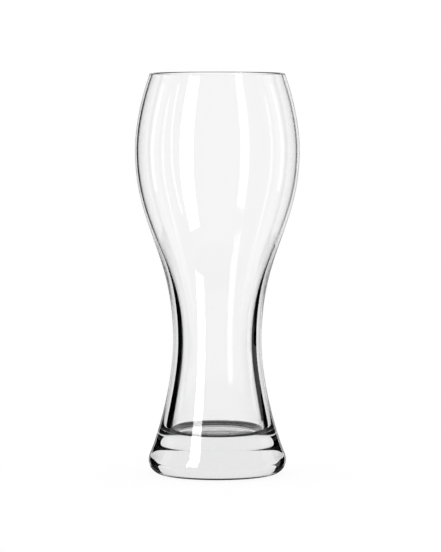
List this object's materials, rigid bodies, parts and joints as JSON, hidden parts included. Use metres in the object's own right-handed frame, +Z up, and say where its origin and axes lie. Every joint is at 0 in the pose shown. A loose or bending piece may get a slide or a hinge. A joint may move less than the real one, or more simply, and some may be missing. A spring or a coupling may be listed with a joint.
{
  "type": "beer glass",
  "caption": "Tall clear beer glass with a rounded belly under the mouth, a narrow waist and a heavy solid flared base, for serving beer.",
  "frame": {"origin": "on the axis of the glass, in the plane of the bearing ring that it stands on", "axes": "+Z up along the axis towards the mouth; the glass is round, so +X and +Y are alike, and the picture's view looks along +Y"},
  "size_m": [0.0954, 0.0954, 0.232],
  "materials": {
    "glass": "clear fire-polished soda-lime glass"
  },
  "bodies": {
    "root": {"bowl": "glass", "base": "glass"}
  },
  "joints": []
}
